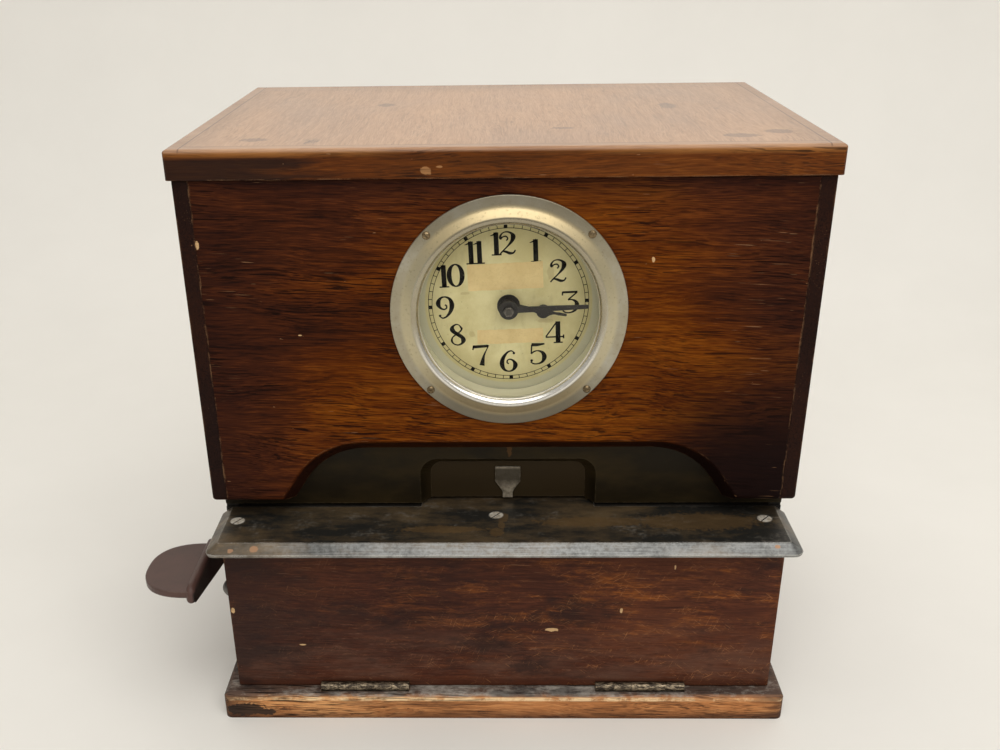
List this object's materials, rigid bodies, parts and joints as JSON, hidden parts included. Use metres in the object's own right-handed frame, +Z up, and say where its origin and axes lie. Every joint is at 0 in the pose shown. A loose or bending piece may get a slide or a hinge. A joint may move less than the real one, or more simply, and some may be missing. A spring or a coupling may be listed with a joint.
{
  "type": "time clock",
  "caption": "Wooden desk time clock: hinged lid and front flap, glazed round dial, card tray with arched throat, side print lever, and a stepped movement driving type wheels over a hammer.",
  "frame": {"origin": "centre of the case's footprint on the plinth's underside", "axes": "+Z up, -Y towards the dial's front, +X to the right seen from the front"},
  "size_m": [0.4485, 0.3235, 0.4018],
  "materials": {
    "case_wood": "dark stained and varnished wood, worn at the edges",
    "hood_wood": "stained and varnished wood with open pores",
    "lid_wood": "stained and varnished wood, satin top",
    "hinge_metal": "grimy nickelled brass",
    "lock_steel": "dull dark steel",
    "bed_iron": "blackened casting",
    "black_sheet": "blackened sheet steel, scratched, brown patina",
    "screw_steel": "bright slotted screws",
    "pointer_metal": "worn nickel over brass",
    "bezel_metal": "dull mottled bright metal",
    "glass": "clear domed glass",
    "dial_paint": "aged cream paint",
    "hand_black": "blued black",
    "brass": "cut brass",
    "steel": "turned steel",
    "black_iron": "black japanned iron",
    "lever_metal": "dark brown satin, worn at the border",
    "coil": "varnished winding on an iron yoke",
    "rubber": "black rubber",
    "ribbon": "inked cotton ribbon",
    "bakelite": "dark moulded"
  },
  "bodies": {
    "case": {"plinth": "case_wood", "case_left": "case_wood", "case_right": "case_wood", "case_back": "case_wood", "flap_hinge_fixed": "hinge_metal", "flap_hinge_pins": "hinge_metal", "bed": "bed_iron", "card_tray": "black_sheet", "tray_screws": "screw_steel", "throat_plate": "black_sheet", "pointer": "pointer_metal", "hood_front": "hood_wood", "hood_left": "hood_wood", "hood_right": "hood_wood", "hood_back": "hood_wood", "lid_hinge_fixed": "hinge_metal", "lid_hinge_pins": "hinge_metal", "bezel": "bezel_metal", "bezel_screws": "screw_steel", "glass": "glass", "glass_ring": "bezel_metal", "dial": "dial_paint", "front_plate": "brass", "back_plate": "brass", "plate_pillars": "steel", "drive_magnet": "coil", "ink_ribbon": "ribbon", "lever_bush": "brass", "shaft_bracket": "black_iron", "return_spring": "steel", "hammer_bracket": "black_iron", "inlet_bush": "bakelite", "terminal_block": "bakelite"},
    "flap": {"front_flap": "case_wood", "flap_hinge_moving": "hinge_metal", "lock_keeper": "lock_steel"},
    "lock": {"lock_barrel": "lock_steel", "lock_tongue": "lock_steel"},
    "lid": {"lid": "lid_wood", "lid_hinge_moving": "hinge_metal"},
    "minute": {"minute_hand": "hand_black", "hand_nut": "screw_steel", "centre_wheel": "brass", "cannon_pinion": "brass"},
    "hour": {"hour_hand": "hand_black", "hour_wheel": "brass"},
    "motion": {"minute_wheel": "brass"},
    "transfer": {"transfer_wheel": "brass"},
    "type": {"type_arbor": "steel", "minute_type_wheel": "brass"},
    "hour_type": {"hour_type_wheel": "brass"},
    "reduction": {"reduction_wheel": "brass"},
    "armature": {"armature": "steel"},
    "spool_l": {"spool_left": "black_iron"},
    "spool_r": {"spool_right": "black_iron"},
    "lever": {"print_lever": "lever_metal", "lever_shaft": "steel", "striker_crank": "black_iron"},
    "hammer": {"hammer": "black_iron", "platen": "rubber"}
  },
  "joints": [
    {"name": "lid_open", "type": "hinge", "parent": "case", "child": "lid", "pos_m": [0, 0.14025, 0.38575], "axis": [-1, 0, 0], "range_deg": [0, 100]},
    {"name": "flap_open", "type": "hinge", "parent": "case", "child": "flap", "pos_m": [0, -0.14025, 0.02225], "axis": [1, 0, 0], "range_deg": [0, 95]},
    {"name": "lock_turn", "type": "hinge", "parent": "case", "child": "lock", "pos_m": [-0.191, -0.117, 0.092], "axis": [-1, 0, 0], "range_deg": [0, 90]},
    {"name": "lever_press", "type": "hinge", "parent": "case", "child": "lever", "pos_m": [-0.2, -0.045, 0.094], "axis": [1, 0, 0], "range_deg": [0, 20], "stiffness_Nm_per_rad": 0.6, "springref_deg": -28.65, "deforming": ["return_spring"]},
    {"name": "hammer_lift", "type": "hinge", "parent": "case", "child": "hammer", "pos_m": [0.004, 0.00973, 0.11523], "axis": [1, 0, 0], "range_deg": [-5, 0]},
    {"name": "minute_spin", "type": "hinge", "parent": "case", "child": "minute", "pos_m": [0.004, 0, 0.302], "axis": [0, 1, 0], "continuous": true},
    {"name": "hour_spin", "type": "hinge", "parent": "case", "child": "hour", "pos_m": [0.004, 0, 0.302], "axis": [0, 1, 0], "continuous": true},
    {"name": "motion_spin", "type": "hinge", "parent": "case", "child": "motion", "pos_m": [-0.00873, 0, 0.31473], "axis": [0, 1, 0], "continuous": true},
    {"name": "transfer_spin", "type": "hinge", "parent": "case", "child": "transfer", "pos_m": [0.004, 0, 0.2425], "axis": [0, 1, 0], "continuous": true},
    {"name": "type_spin", "type": "hinge", "parent": "case", "child": "type", "pos_m": [0.004, 0, 0.183], "axis": [0, 1, 0], "continuous": true},
    {"name": "reduction_spin", "type": "hinge", "parent": "case", "child": "reduction", "pos_m": [0.013, 0, 0.19859], "axis": [0, 1, 0], "continuous": true},
    {"name": "hour_type_spin", "type": "hinge", "parent": "case", "child": "hour_type", "pos_m": [0.004, 0, 0.183], "axis": [0, 1, 0], "continuous": true},
    {"name": "armature_swing", "type": "hinge", "parent": "case", "child": "armature", "pos_m": [0.065, 0, 0.305], "axis": [0, 1, 0], "range_deg": [0, 4], "stiffness_Nm_per_rad": 0.05, "springref_deg": -5.73},
    {"name": "spool_l_spin", "type": "hinge", "parent": "case", "child": "spool_l", "pos_m": [-0.04, 0, 0.178], "axis": [0, 1, 0], "continuous": true},
    {"name": "spool_r_spin", "type": "hinge", "parent": "case", "child": "spool_r", "pos_m": [0.048, 0, 0.178], "axis": [0, 1, 0], "continuous": true}
  ],
  "couplings": [
    {"joint": "hour_spin", "follows": "minute_spin", "ratio": 0.083333},
    {"joint": "motion_spin", "follows": "minute_spin", "ratio": -0.33333},
    {"joint": "transfer_spin", "follows": "minute_spin", "ratio": -0.50633},
    {"joint": "type_spin", "follows": "minute_spin", "ratio": 1},
    {"joint": "reduction_spin", "follows": "minute_spin", "ratio": -0.33333},
    {"joint": "hour_type_spin", "follows": "minute_spin", "ratio": 0.083333},
    {"joint": "spool_r_spin", "follows": "spool_l_spin", "ratio": 1},
    {"joint": "hammer_lift", "follows": "lever_press", "ratio": -0.25}
  ]
}
